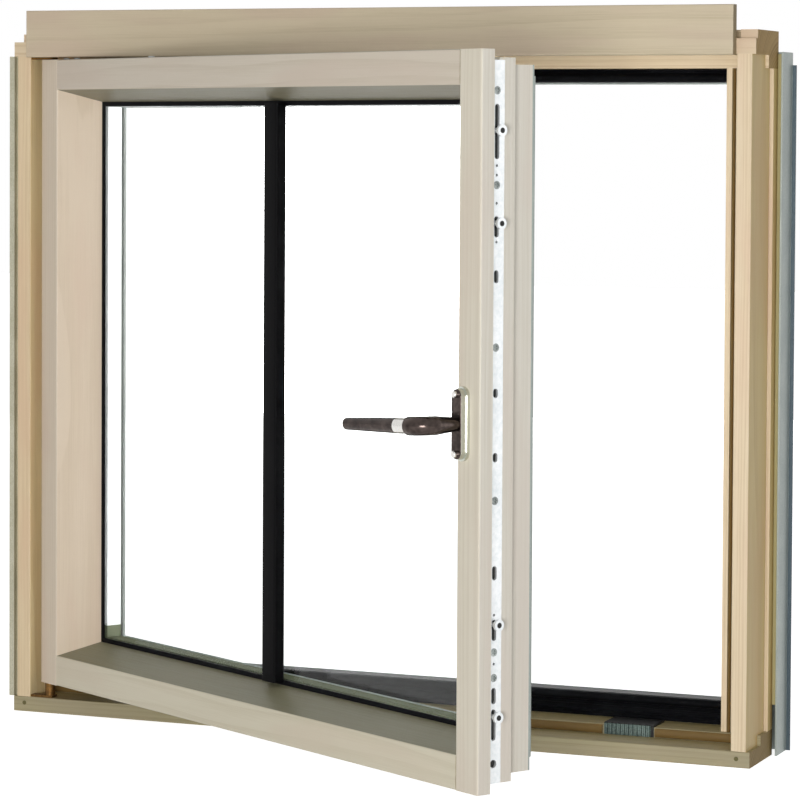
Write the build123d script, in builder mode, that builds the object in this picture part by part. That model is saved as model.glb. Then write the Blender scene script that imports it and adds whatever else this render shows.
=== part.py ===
from build123d import *
import os
from math import cos, radians, sin

# Side-hung timber window that stands under a sloping roof window, shown with its sash open.
# X runs along the sill, +Y goes through the wall to the outside, Z is up, sizes in millimetres.

os.makedirs("parts", exist_ok=True)

# Timber frame
FRAME_WIDTH = 780.0
FRAME_HEIGHT = 692.5
FRAME_DEPTH = 78.0
JAMB_LIP = 18.5
SILL_LIP = 15.5
RECESS_DEPTH = 44.5
SILL_RECESS_DEPTH = 38.0
JAMB_STOP = 41.0
SILL_STOP = 25.0
HEAD_STOP = 35.5
HEAD_STEP = 8.5
HEAD_STEP_SETBACK = 20.0
HEAD_BLOCK_LENGTH = 16.5
HEAD_BLOCK_SETBACK = 6.0
SEAL_STRIP = 5.5
SEAL_GROOVE = 4.0
SIDE_INSET = 3.5
SIDE_GROOVE = 2.0
SIDE_GROOVE_PLACE = 62.0
EDGE_ROUND = 1.2

# Cover board on the head
BOARD_HEIGHT = 47.0
BOARD_THICKNESS = 11.0
BOARD_END_SETBACK = 19.0
BOARD_GAP = 2.5
BOARD_LAP = 1.0

# Sash, hung on its left stile
CHANNEL = 12.5
SILL_CHANNEL = 15.5
HEAD_LAP = 9.0
OPEN_ANGLE = 30.9
PIVOT_INSET = 7.0
SASH_THICKNESS = 66.0
SASH_FACE = 30.3
REVEAL_SPLAY = 11.9
GLASS_DEPTH = 46.1
LIP_THICKNESS = 14.0
SECOND_STEP = 6.9
THIRD_STEP = 12.7
THIRD_STEP_DEPTH = 42.2
GLASS_REBATE = 28.0
SASH_ROUND = 1.8

# Sealed glass unit
PANE = 4.0
PANE_GAP = 16.0
GLASS_CLEARANCE = 2.0
SPACER_INSET = 3.0
SPACER_WIDTH = 14.5
BEAD_THICKNESS = 1.5
BEAD_SHOW = 4.5
BEAD_COVER = 8.0

# Black weather profiles behind the timber frame
PROFILE_DEPTH = 20.0
PROFILE_INSET = 10.0
SILL_PROFILE_TOP = 49.0
HEAD_PROFILE_LOW = 48.5
JAMB_PROFILE_WIDTH = 46.0
RIDGE = 2.0
BULB_RADIUS = 4.2
JAMB_BULB_RADIUS = 2.3
BULB_OVERLAP = 1.0

# Outside cladding
CLADDING_SHEET = 1.6
CLADDING_OFFSET = 4.6
CLADDING_START = 72.0
CLADDING_BACK = 106.0
CLADDING_COVER = 44.0
CLADDING_TOP_DROP = 19.5
HEAD_CLADDING_END = 12.0
FLANGE_WIDTH = 3.9
FLANGE_DROP = 12.0
NOSE_REACH = 20.0
NOSE_DROP = 12.0
SASH_SHEET = 1.6
SASH_COVER_INSET = 22.0
SASH_COVER_DEPTH = 9.0
SASH_COVER_SLOPE = 4.0
SASH_COVER_OVER_GLASS = 48.0
MITRE_MARGIN = 1.0
SIDE_STRIP_WIDTH = 5.5
SIDE_STRIP_DEPTH = 12.0
SIDE_STRIP_SETBACK = 6.0

# Lock hardware: upper places are measured down from the sash's top, lower ones up from its bottom
PLATE_WIDTH = 16.0
PLATE_THICKNESS = 2.5
PLATE_END = 9.0
PLATE_SETBACK = 0.5
ROD_WIDTH = 8.0
ROD_THICKNESS = 3.0
ROD_END = 14.0
CAM_RADIUS = 5.0
CAM_STEM_RADIUS = 2.2
CAM_REACH = 7.5
CAM_HEAD = 2.4
UPPER_CAMS = (69.0, 148.0)
LOWER_CAMS = (144.0, 64.6)
SLOT_WIDTH = 5.0
UPPER_SLOTS = ((70.0, 47.0), (151.0, 18.0), (193.5, 11.0), (293.0, 8.0))
LOWER_SLOTS = ((287.0, 8.0), (188.0, 12.0), (139.0, 18.0), (82.5, 14.0), (57.5, 27.0))
SCREW_HOLE = 4.2
UPPER_SCREW_HOLES = (35.0, 115.5, 254.0)
LOWER_SCREW_HOLES = (250.0, 120.0, 98.0)
PEG_HOLE = 2.4
UPPER_PEG_HOLES = (99.0, 107.0, 131.0, 164.0)
LOWER_PEG_HOLES = (152.0, 110.0)
LATCH_HOLE = 7.0
LATCH_HOLE_HEIGHT = 24.0
KEEPER_LENGTH = 50.0
KEEPER_FROM_CORNER = 131.0
KEEPER_HEIGHT = 2.0
KEEPER_DEPTH = 34.0
KEEPER_TEETH = 7
TOOTH_NOTCH = 3.0
BOTTOM_PLATE_LENGTH = 160.0

# Pivots and stay
PIN_RADIUS = 3.0
PIN_CLEARANCE = 0.3
PIN_LENGTH = 14.0
PIVOT_BOSS_RADIUS = 5.0
BRACKET_PLATE = 2.2
BRACKET_DEPTH = 11.0
STAY_LENGTH = 180.0
STAY_WIDTH = 12.0
STAY_THICKNESS = 2.5
STUD_RADIUS = 3.2
STUD_PLACES = (16.0, 36.0, 174.0)

# Handle
HANDLE_INSET = 22.0
HANDLE_DROP = 1.5
ROSE_HEIGHT = 64.0
ROSE_WIDTH = 17.0
ROSE_BASE = 3.0
ROSE_BOSS_HEIGHT = 61.0
ROSE_BOSS_WIDTH = 14.0
ROSE_BOSS = 5.5
ROSE_TAPER = 4.0
ROSE_ROUND = 1.0
NECK_ROOT_RADIUS = 6.0
NECK_CONE = 22.0
NECK_RADIUS = 8.3
NECK_REACH = 36.5
NECK_ROUND = 1.0
LEVER_BEND = 12.0
LEVER_SHOULDER = 17.5
LEVER_DROOP = 3.0
COLLAR_LENGTH = 15.5
COLLAR_RADIUS = 7.0
GRIP_LENGTH = 77.0
GRIP_HEIGHT = 13.8
GRIP_THICKNESS = 11.0
GRIP_END_SCALE = 0.77
GRIP_END_ROUND = 3.0
SCREW_RADIUS = 3.0
SCREW_HEIGHT = 3.5
SCREW_ROUND = 1.0
SCREW_SPACING = 51.0

SEAT_GAP = 0.3

# Places worked out from the sizes above
HALF_WIDTH = FRAME_WIDTH / 2
FRONT = -FRAME_DEPTH / 2
HEAD_UNDERSIDE = FRAME_HEIGHT - HEAD_STOP
SASH_MARGIN = JAMB_LIP + CHANNEL
SASH_WIDTH = FRAME_WIDTH - 2 * SASH_MARGIN
SASH_BOTTOM = SILL_LIP + SILL_CHANNEL
SASH_TOP = HEAD_UNDERSIDE + HEAD_LAP
SASH_HEIGHT = SASH_TOP - SASH_BOTTOM
BOARD_BOTTOM = SASH_TOP + BOARD_GAP
JAMB_TOP = BOARD_BOTTOM + BOARD_LAP
CLADDING_TOP = FRAME_HEIGHT - CLADDING_TOP_DROP
REVEAL_INSET = SASH_FACE + REVEAL_SPLAY
GLASS_INSET = GLASS_REBATE + GLASS_CLEARANCE
GLASS_FRONT = GLASS_DEPTH + BEAD_THICKNESS
GLASS_BACK = GLASS_FRONT + 2 * PANE + PANE_GAP
COVER_BACK = max(GLASS_BACK + BEAD_THICKNESS, SASH_THICKNESS + SASH_COVER_DEPTH)
HANDLE_U = SASH_WIDTH - HANDLE_INSET
HANDLE_Z = SASH_BOTTOM + SASH_HEIGHT / 2 - HANDLE_DROP
PLATE_U = SASH_WIDTH - SECOND_STEP
PLATE_V = LIP_THICKNESS + PLATE_SETBACK + PLATE_WIDTH / 2
CAM_HEIGHTS = [SASH_HEIGHT - place for place in UPPER_CAMS] + list(LOWER_CAMS)

FRAME = Plane(origin=(-HALF_WIDTH, FRONT, 0), x_dir=(1, 0, 0), z_dir=(0, 0, 1))
PIVOT = FRAME.from_local_coords(Vector(SASH_MARGIN + PIVOT_INSET, PIVOT_INSET, 0))
SWING = radians(OPEN_ANGLE)
SASH_ALONG = Vector(cos(SWING), -sin(SWING), 0)
SASH_THROUGH = Vector(sin(SWING), cos(SWING), 0)
SASH_CORNER = PIVOT - (SASH_ALONG + SASH_THROUGH) * PIVOT_INSET
SASH = Plane(origin=SASH_CORNER, x_dir=SASH_ALONG, z_dir=(0, 0, 1))


def cross_plane(base, u):
    """Plane across a stick that runs along the sill: first axis through the wall, second up."""
    return Plane(origin=base.from_local_coords(Vector(u, 0, 0)), x_dir=base.y_dir, z_dir=base.x_dir)


def room_plane(base, v):
    """Plane that faces the room at depth v: first axis along the sill, second up."""
    return Plane(origin=base.from_local_coords(Vector(0, v, 0)), x_dir=base.x_dir, z_dir=-base.y_dir)


def outline(plane, points, corners=(), radius=EDGE_ROUND):
    """Flat shape bounded by straight lines through the points, the named corners rounded."""
    with BuildSketch(plane) as shape:
        with BuildLine():
            Polyline(*points, close=True)
        make_face()
        for corner in corners:
            fillet(shape.vertices().sort_by_distance(corner)[0], radius)
    return shape.sketch


def panel(plane, low, high):
    """Flat rectangle between two opposite corners."""
    with BuildSketch(plane) as shape:
        with Locations(((low[0] + high[0]) / 2, (low[1] + high[1]) / 2)):
            Rectangle(high[0] - low[0], high[1] - low[1])
    return shape.sketch


def mirrored(points, width):
    """The same outline seen from the far edge of something of this width."""
    return [(width - a, b) for a, b in points]


def mirrored_corners(low, high, width):
    """Opposite corners of the same rectangle seen from the far edge."""
    return (width - high[0], low[1]), (width - low[0], high[1])


def sash_section():
    """Section of a sash member as (distance in from the sash edge, depth from the room face)."""
    return [
        (0, 0),
        (SASH_FACE, 0),
        (REVEAL_INSET, GLASS_DEPTH),
        (GLASS_REBATE, GLASS_DEPTH),
        (GLASS_REBATE, SASH_THICKNESS),
        (THIRD_STEP, SASH_THICKNESS),
        (THIRD_STEP, THIRD_STEP_DEPTH),
        (SECOND_STEP, THIRD_STEP_DEPTH),
        (SECOND_STEP, LIP_THICKNESS),
        (0, LIP_THICKNESS),
    ]


def sash_corners():
    """The two corners of a sash member's room face, which are rounded."""
    return [(0, 0), (SASH_FACE, 0)]


def sash_cover_section():
    """Section of the sheet that covers the outside of a sash member."""
    slope_end = SASH_COVER_OVER_GLASS - SASH_COVER_SLOPE
    back = COVER_BACK + CLADDING_SHEET
    return [
        (THIRD_STEP, SASH_THICKNESS),
        (THIRD_STEP, SASH_THICKNESS + SASH_SHEET),
        (SASH_COVER_INSET, SASH_THICKNESS + SASH_SHEET),
        (SASH_COVER_INSET, back),
        (slope_end, back),
        (SASH_COVER_OVER_GLASS, GLASS_BACK + SEAT_GAP),
        (SASH_COVER_OVER_GLASS - SASH_SHEET, GLASS_BACK + SEAT_GAP),
        (slope_end - SASH_SHEET, COVER_BACK),
        (SASH_COVER_INSET + SASH_SHEET, COVER_BACK),
        (SASH_COVER_INSET + SASH_SHEET, SASH_THICKNESS),
    ]


def jamb_section():
    """Section of a jamb as (distance in from its outer side, depth from the room face)."""
    groove_end = JAMB_STOP - SEAL_STRIP
    groove_start = groove_end - SEAL_GROOVE
    return [
        (SIDE_INSET, 0),
        (JAMB_LIP, 0),
        (JAMB_LIP, RECESS_DEPTH),
        (groove_start, RECESS_DEPTH),
        (groove_start, RECESS_DEPTH + SEAL_GROOVE),
        (groove_end, RECESS_DEPTH + SEAL_GROOVE),
        (groove_end, RECESS_DEPTH),
        (JAMB_STOP, RECESS_DEPTH),
        (JAMB_STOP, FRAME_DEPTH),
        (0, FRAME_DEPTH),
        (0, SIDE_GROOVE_PLACE),
        (SIDE_INSET + SIDE_GROOVE, SIDE_GROOVE_PLACE),
        (SIDE_INSET + SIDE_GROOVE, SIDE_GROOVE_PLACE - SIDE_GROOVE),
        (SIDE_INSET, SIDE_GROOVE_PLACE - SIDE_GROOVE),
    ]


def sill_section():
    """Section of the sill as (depth from the room face, height)."""
    return [
        (0, 0),
        (FRAME_DEPTH, 0),
        (FRAME_DEPTH, SILL_STOP),
        (SILL_RECESS_DEPTH, SILL_STOP),
        (SILL_RECESS_DEPTH, SILL_LIP),
        (0, SILL_LIP),
    ]


def head_section():
    """Section of the head as (depth from the room face, height)."""
    return [
        (0, JAMB_TOP),
        (RECESS_DEPTH, JAMB_TOP),
        (RECESS_DEPTH, HEAD_UNDERSIDE),
        (FRAME_DEPTH, HEAD_UNDERSIDE),
        (FRAME_DEPTH, FRAME_HEIGHT),
        (HEAD_BLOCK_SETBACK, FRAME_HEIGHT),
        (HEAD_BLOCK_SETBACK, FRAME_HEIGHT - HEAD_STEP),
        (0, FRAME_HEIGHT - HEAD_STEP),
    ]


def weather_section(start, reach):
    """Section of a ridged weather profile as (distance in from the frame's outside, depth)."""
    front = FRAME_DEPTH
    back = FRAME_DEPTH + PROFILE_DEPTH
    step = (reach - start) / 4
    return [
        (start, front),
        (start + step, front),
        (start + step, front + RIDGE),
        (start + 2 * step, front + RIDGE),
        (start + 2 * step, front),
        (reach, front),
        (reach, back - 2 * RIDGE),
        (reach - 2 * RIDGE, back),
        (start, back),
    ]


# Frame sill: the front lip is low, the stop behind it is higher, and it runs the full width
with BuildPart() as frame_sill:
    extrude(outline(cross_plane(FRAME, 0), sill_section()), amount=FRAME_WIDTH)
    keeper_plane = FRAME.offset(SILL_LIP)
    keeper_right = FRAME_WIDTH - KEEPER_FROM_CORNER + KEEPER_LENGTH / 2
    keeper_low = (keeper_right - KEEPER_LENGTH - SEAT_GAP, SILL_RECESS_DEPTH)
    keeper_high = (keeper_right + SEAT_GAP, SILL_RECESS_DEPTH + KEEPER_DEPTH)
    extrude(panel(keeper_plane, keeper_low, keeper_high), amount=SILL_STOP, mode=Mode.SUBTRACT)
    lip_edges = frame_sill.edges().filter_by(Axis.X).group_by(Axis.Y)[0]
    fillet(lip_edges, EDGE_ROUND)
frame_sill.part.label = "frame_sill"
export_step(frame_sill.part, "parts/frame_sill.step")

# Frame head: its front carries the cover board, its top steps back except for a block at the lock end
with BuildPart() as frame_head:
    extrude(outline(cross_plane(FRAME, 0), head_section()), amount=FRAME_WIDTH)
    rebate_low = (HEAD_BLOCK_SETBACK, FRAME_HEIGHT - HEAD_STEP)
    rebate_high = (HEAD_STEP_SETBACK, FRAME_HEIGHT)
    extrude(
        panel(cross_plane(FRAME, 0), rebate_low, rebate_high),
        amount=FRAME_WIDTH - HEAD_BLOCK_LENGTH,
        mode=Mode.SUBTRACT,
    )
frame_head.part.label = "frame_head"
export_step(frame_head.part, "parts/frame_head.step")

# Jambs: coped over the sill and cut to the head's underside, their outer sides inset up to a groove
for side in ("left", "right"):
    with BuildPart() as jamb:
        section = jamb_section()
        corners = [(SIDE_INSET, 0), (JAMB_LIP, 0)]
        if side == "right":
            section = mirrored(section, FRAME_WIDTH)
            corners = mirrored(corners, FRAME_WIDTH)
        extrude(outline(FRAME.offset(SILL_LIP), section, corners), amount=JAMB_TOP - SILL_LIP)
        sill_low = (SILL_RECESS_DEPTH, 0)
        sill_high = (FRAME_DEPTH, SILL_STOP)
        extrude(panel(cross_plane(FRAME, 0), sill_low, sill_high), amount=FRAME_WIDTH, mode=Mode.SUBTRACT)
        head_low = (RECESS_DEPTH, HEAD_UNDERSIDE)
        head_high = (FRAME_DEPTH, FRAME_HEIGHT)
        extrude(panel(cross_plane(FRAME, 0), head_low, head_high), amount=FRAME_WIDTH, mode=Mode.SUBTRACT)
    jamb.part.label = f"frame_{side}_jamb"
    export_step(jamb.part, f"parts/frame_{side}_jamb.step")

# Cover board across the front of the head
with BuildPart() as head_cover_board:
    board_low = (BOARD_END_SETBACK, BOARD_BOTTOM)
    board_high = (FRAME_WIDTH - BOARD_END_SETBACK, BOARD_BOTTOM + BOARD_HEIGHT)
    extrude(panel(room_plane(FRAME, 0), board_low, board_high), amount=BOARD_THICKNESS)
    board_front = head_cover_board.faces().sort_by(Axis.Y)[0]
    fillet(board_front.edges(), EDGE_ROUND)
head_cover_board.part.label = "head_cover_board"
export_step(head_cover_board.part, "parts/head_cover_board.step")

# Black weather profiles, one along each side of the opening, with a sealing bulb in front
bulb_v = FRAME_DEPTH - BULB_RADIUS + BULB_OVERLAP
with BuildPart() as sill_weather_profile:
    section = [(v, z) for z, v in weather_section(0, SILL_PROFILE_TOP)]
    extrude(outline(cross_plane(FRAME, JAMB_STOP), section), amount=FRAME_WIDTH - 2 * JAMB_STOP)
    with BuildSketch(cross_plane(FRAME, JAMB_STOP)):
        with Locations((bulb_v, SILL_PROFILE_TOP - BULB_RADIUS)):
            Circle(BULB_RADIUS)
    extrude(amount=FRAME_WIDTH - 2 * JAMB_STOP)
sill_weather_profile.part.label = "sill_weather_profile"
export_step(sill_weather_profile.part, "parts/sill_weather_profile.step")

with BuildPart() as head_weather_profile:
    section = [(v, FRAME_HEIGHT - z) for z, v in weather_section(PROFILE_INSET, HEAD_PROFILE_LOW)]
    extrude(outline(cross_plane(FRAME, JAMB_STOP), section), amount=FRAME_WIDTH - 2 * JAMB_STOP)
    with BuildSketch(cross_plane(FRAME, JAMB_STOP)):
        with Locations((bulb_v, FRAME_HEIGHT - HEAD_PROFILE_LOW + BULB_RADIUS)):
            Circle(BULB_RADIUS)
    extrude(amount=FRAME_WIDTH - 2 * JAMB_STOP)
head_weather_profile.part.label = "head_weather_profile"
export_step(head_weather_profile.part, "parts/head_weather_profile.step")

for side in ("left", "right"):
    with BuildPart() as jamb_profile:
        section = weather_section(PROFILE_INSET, JAMB_PROFILE_WIDTH)
        centre = JAMB_PROFILE_WIDTH - JAMB_BULB_RADIUS
        if side == "right":
            section = mirrored(section, FRAME_WIDTH)
            centre = FRAME_WIDTH - centre
        profile_height = FRAME_HEIGHT - HEAD_PROFILE_LOW - SILL_PROFILE_TOP
        extrude(outline(FRAME.offset(SILL_PROFILE_TOP), section), amount=profile_height)
        with BuildSketch(FRAME.offset(SILL_PROFILE_TOP)):
            with Locations((centre, FRAME_DEPTH - JAMB_BULB_RADIUS + BULB_OVERLAP)):
                Circle(JAMB_BULB_RADIUS)
        extrude(amount=profile_height)
    jamb_profile.part.label = f"{side}_weather_profile"
    export_step(jamb_profile.part, f"parts/{side}_weather_profile.step")


def cladding_section():
    """Section of the outside cladding as (distance in from the frame's outer side, depth)."""
    outer = -CLADDING_OFFSET - CLADDING_SHEET
    return [
        (-CLADDING_OFFSET, CLADDING_START),
        (outer, CLADDING_START),
        (outer, CLADDING_BACK),
        (outer - FLANGE_WIDTH, CLADDING_BACK),
        (outer - FLANGE_WIDTH, CLADDING_BACK + CLADDING_SHEET),
        (CLADDING_COVER, CLADDING_BACK + CLADDING_SHEET),
        (CLADDING_COVER, FRAME_DEPTH + PROFILE_DEPTH),
        (CLADDING_COVER - CLADDING_SHEET, FRAME_DEPTH + PROFILE_DEPTH),
        (CLADDING_COVER - CLADDING_SHEET, CLADDING_BACK),
        (-CLADDING_OFFSET, CLADDING_BACK),
    ]


# Outside cladding: folded sheet down both sides, a sloped nose on the sill and a drip on the head
for side in ("left", "right"):
    with BuildPart() as side_cladding:
        section = cladding_section()
        clip_low = (-CLADDING_OFFSET - CLADDING_SHEET - FLANGE_WIDTH, CLADDING_BACK)
        clip_high = (-CLADDING_OFFSET - CLADDING_SHEET, CLADDING_BACK + CLADDING_SHEET)
        lid_low = (-CLADDING_OFFSET, FRAME_DEPTH)
        lid_high = (JAMB_STOP - SEAT_GAP, CLADDING_BACK)
        if side == "right":
            section = mirrored(section, FRAME_WIDTH)
            clip_low, clip_high = mirrored_corners(clip_low, clip_high, FRAME_WIDTH)
            lid_low, lid_high = mirrored_corners(lid_low, lid_high, FRAME_WIDTH)
        extrude(outline(FRAME, section), amount=CLADDING_TOP)
        top_clip = FRAME.offset(CLADDING_TOP - FLANGE_DROP)
        extrude(panel(top_clip, clip_low, clip_high), amount=FLANGE_DROP, mode=Mode.SUBTRACT)
        extrude(panel(FRAME.offset(CLADDING_TOP), lid_low, lid_high), amount=-CLADDING_SHEET)
    side_cladding.part.label = f"{side}_cladding"
    export_step(side_cladding.part, f"parts/{side}_cladding.step")

with BuildPart() as sill_cladding:
    nose_back = CLADDING_BACK + NOSE_REACH
    nose_top = SILL_PROFILE_TOP - NOSE_DROP
    section = [
        (FRAME_DEPTH + PROFILE_DEPTH, SILL_PROFILE_TOP - CLADDING_SHEET),
        (FRAME_DEPTH + PROFILE_DEPTH, SILL_PROFILE_TOP),
        (nose_back, nose_top),
        (nose_back, nose_top - NOSE_DROP),
        (nose_back - CLADDING_SHEET, nose_top - NOSE_DROP),
        (nose_back - CLADDING_SHEET, nose_top - CLADDING_SHEET),
    ]
    middle_start = CLADDING_COVER + SEAT_GAP
    middle_length = FRAME_WIDTH - 2 * middle_start
    extrude(outline(cross_plane(FRAME, middle_start), section), amount=middle_length)
    end_plate = [section[0], section[5], section[4], (section[0][0], section[4][1])]
    for place in (middle_start, middle_start + middle_length - CLADDING_SHEET):
        extrude(outline(cross_plane(FRAME, place), end_plate), amount=CLADDING_SHEET)
sill_cladding.part.label = "sill_cladding"
export_step(sill_cladding.part, "parts/sill_cladding.step")

with BuildPart() as head_cladding:
    drip_low = FRAME_HEIGHT - HEAD_PROFILE_LOW
    section = [
        (CLADDING_BACK - CLADDING_SHEET, FRAME_HEIGHT - CLADDING_SHEET),
        (CLADDING_BACK - CLADDING_SHEET, drip_low),
        (FRAME_DEPTH + PROFILE_DEPTH, drip_low),
        (FRAME_DEPTH + PROFILE_DEPTH, drip_low - CLADDING_SHEET),
        (CLADDING_BACK, drip_low - CLADDING_SHEET),
        (CLADDING_BACK, FRAME_HEIGHT - CLADDING_SHEET),
    ]
    extrude(outline(cross_plane(FRAME, middle_start), section), amount=middle_length)
    cap_low = CLADDING_TOP + SEAT_GAP
    cap = [
        (FRAME_DEPTH, FRAME_HEIGHT),
        (FRAME_DEPTH, FRAME_HEIGHT - CLADDING_SHEET),
        (CLADDING_BACK - CLADDING_SHEET, FRAME_HEIGHT - CLADDING_SHEET),
        (CLADDING_BACK - CLADDING_SHEET, cap_low),
        (CLADDING_BACK, cap_low),
        (CLADDING_BACK, FRAME_HEIGHT),
    ]
    cap_length = FRAME_WIDTH - 2 * HEAD_CLADDING_END
    extrude(outline(cross_plane(FRAME, HEAD_CLADDING_END), cap), amount=cap_length)
    for place in (HEAD_CLADDING_END, HEAD_CLADDING_END + cap_length - CLADDING_SHEET):
        end_low = (FRAME_DEPTH, cap_low)
        end_high = (CLADDING_BACK, FRAME_HEIGHT)
        extrude(panel(cross_plane(FRAME, place), end_low, end_high), amount=CLADDING_SHEET)
head_cladding.part.label = "head_cladding"
export_step(head_cladding.part, "parts/head_cladding.step")

# Metal strip down the outer side of the hinge jamb, its web bearing on the jamb's inset side
with BuildPart() as hinge_side_strip:
    section = [
        (-SIDE_STRIP_WIDTH, 0),
        (0, 0),
        (0, SIDE_STRIP_SETBACK),
        (SIDE_INSET, SIDE_STRIP_SETBACK),
        (SIDE_INSET, SIDE_STRIP_DEPTH),
        (-SIDE_STRIP_WIDTH, SIDE_STRIP_DEPTH),
    ]
    extrude(outline(FRAME.offset(SILL_LIP), section), amount=JAMB_TOP - SILL_LIP)
hinge_side_strip.part.label = "hinge_side_strip"
export_step(hinge_side_strip.part, "parts/hinge_side_strip.step")

# Toothed keeper let into the sill, where the bottom cam locks
with BuildPart() as sill_keeper:
    body_low = (keeper_right - KEEPER_LENGTH, SILL_RECESS_DEPTH + SEAT_GAP)
    body_high = (keeper_right, SILL_RECESS_DEPTH + KEEPER_DEPTH - SEAT_GAP)
    extrude(panel(keeper_plane, body_low, body_high), amount=SILL_STOP + KEEPER_HEIGHT - SILL_LIP)
    tooth_pitch = KEEPER_LENGTH / KEEPER_TEETH
    row_centre = (keeper_right - KEEPER_LENGTH / 2, SILL_RECESS_DEPTH + SEAT_GAP)
    with BuildSketch(keeper_plane.offset(SILL_STOP - SILL_LIP)):
        with Locations(row_centre):
            with GridLocations(tooth_pitch, TOOTH_NOTCH, KEEPER_TEETH - 1, 1):
                Rectangle(tooth_pitch / 3, TOOTH_NOTCH)
    extrude(amount=KEEPER_HEIGHT, mode=Mode.SUBTRACT)
sill_keeper.part.label = "sill_keeper"
export_step(sill_keeper.part, "parts/sill_keeper.step")

# Keepers on the lock jamb, one beside each cam of the closed sash
with BuildPart() as jamb_keepers:
    for height in CAM_HEIGHTS:
        keeper_front = FRAME_WIDTH - JAMB_LIP
        plate_v = PLATE_V - PLATE_WIDTH / 2
        plate_low = (keeper_front - PLATE_THICKNESS, plate_v)
        plate_high = (keeper_front, plate_v + PLATE_WIDTH + SEAT_GAP)
        plate_bottom = SASH_BOTTOM + height - KEEPER_LENGTH / 2
        extrude(panel(FRAME.offset(plate_bottom), plate_low, plate_high), amount=KEEPER_LENGTH)
        claw_low = (keeper_front - PLATE_THICKNESS - CAM_HEAD, plate_v + PLATE_WIDTH - PLATE_THICKNESS)
        extrude(panel(FRAME.offset(plate_bottom), claw_low, plate_high), amount=KEEPER_LENGTH)
jamb_keepers.part.label = "jamb_keepers"
export_step(jamb_keepers.part, "parts/jamb_keepers.step")

# Stiles run the full height of the sash, rails fit between them
for side in ("left", "right"):
    with BuildPart() as stile:
        section = sash_section()
        corners = sash_corners()
        if side == "right":
            section = mirrored(section, SASH_WIDTH)
            corners = mirrored(corners, SASH_WIDTH)
        extrude(outline(SASH.offset(SASH_BOTTOM), section, corners, SASH_ROUND), amount=SASH_HEIGHT)
        for end, rise in ((SASH_BOTTOM, 1), (SASH_TOP, -1)):
            for step, depth in ((SECOND_STEP, LIP_THICKNESS), (THIRD_STEP, THIRD_STEP_DEPTH)):
                cut = panel(SASH.offset(end), (0, depth), (SASH_WIDTH, SASH_THICKNESS))
                extrude(cut, amount=step * rise, mode=Mode.SUBTRACT)
        if side == "left":
            with BuildSketch(SASH.offset(SASH_BOTTOM)):
                with Locations((PIVOT_INSET, PIVOT_INSET)):
                    Circle(PIN_RADIUS + PIN_CLEARANCE)
            extrude(amount=PIN_LENGTH + SEAT_GAP, mode=Mode.SUBTRACT)
            with BuildSketch(SASH.offset(SASH_TOP)):
                with Locations((PIVOT_INSET, PIVOT_INSET)):
                    Circle(PIN_RADIUS + PIN_CLEARANCE)
            extrude(amount=-PIN_LENGTH - SEAT_GAP, mode=Mode.SUBTRACT)
        else:
            groove_low = (PLATE_U - PLATE_THICKNESS, PLATE_V - PLATE_WIDTH / 2)
            groove_high = (PLATE_U, PLATE_V + PLATE_WIDTH / 2)
            extrude(
                panel(SASH.offset(SASH_BOTTOM), groove_low, groove_high),
                amount=SASH_HEIGHT,
                mode=Mode.SUBTRACT,
            )
            rod_low = (PLATE_U - PLATE_THICKNESS - ROD_THICKNESS - SEAT_GAP, PLATE_V - ROD_WIDTH / 2 - SEAT_GAP)
            rod_high = (PLATE_U, PLATE_V + ROD_WIDTH / 2 + SEAT_GAP)
            extrude(
                panel(SASH.offset(SASH_BOTTOM), rod_low, rod_high),
                amount=SASH_HEIGHT,
                mode=Mode.SUBTRACT,
            )
    stile.part.label = f"sash_{side}_stile"
    export_step(stile.part, f"parts/sash_{side}_stile.step")

# Rails are coped over the stiles, so the splayed reveals meet in mitre lines
for place in ("top", "bottom"):
    with BuildPart() as rail:
        if place == "bottom":
            section = [(v, SASH_BOTTOM + s) for s, v in sash_section()]
            corners = [(v, SASH_BOTTOM + s) for s, v in sash_corners()]
        else:
            section = [(v, SASH_TOP - s) for s, v in sash_section()]
            corners = [(v, SASH_TOP - s) for s, v in sash_corners()]
        rail_length = SASH_WIDTH - 2 * THIRD_STEP
        rail_outline = outline(cross_plane(SASH, THIRD_STEP), section, corners, SASH_ROUND)
        extrude(rail_outline, amount=rail_length)
        for stile_section in (sash_section(), mirrored(sash_section(), SASH_WIDTH)):
            extrude(
                outline(SASH.offset(SASH_BOTTOM), stile_section),
                amount=SASH_HEIGHT,
                mode=Mode.SUBTRACT,
            )
        if place == "bottom":
            plate_end = SASH_WIDTH - REVEAL_INSET - SEAT_GAP
            seat_low = (plate_end - BOTTOM_PLATE_LENGTH - SEAT_GAP, PLATE_V - PLATE_WIDTH / 2 - SEAT_GAP)
            seat_high = (plate_end + SEAT_GAP, PLATE_V + PLATE_WIDTH / 2 + SEAT_GAP)
            seat_plane = SASH.offset(SASH_BOTTOM + SECOND_STEP)
            extrude(panel(seat_plane, seat_low, seat_high), amount=PLATE_THICKNESS, mode=Mode.SUBTRACT)
    rail.part.label = f"sash_{place}_rail"
    export_step(rail.part, f"parts/sash_{place}_rail.step")

# Sealed glass unit: two panes and the spacer between them
glass_low = (GLASS_INSET, SASH_BOTTOM + GLASS_INSET)
glass_high = (SASH_WIDTH - GLASS_INSET, SASH_TOP - GLASS_INSET)
for name, depth in (("inner_pane", GLASS_FRONT), ("outer_pane", GLASS_FRONT + PANE + PANE_GAP)):
    with BuildPart() as pane:
        extrude(panel(room_plane(SASH, depth), glass_low, glass_high), amount=-PANE)
    pane.part.label = name
    export_step(pane.part, f"parts/{name}.step")

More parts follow.
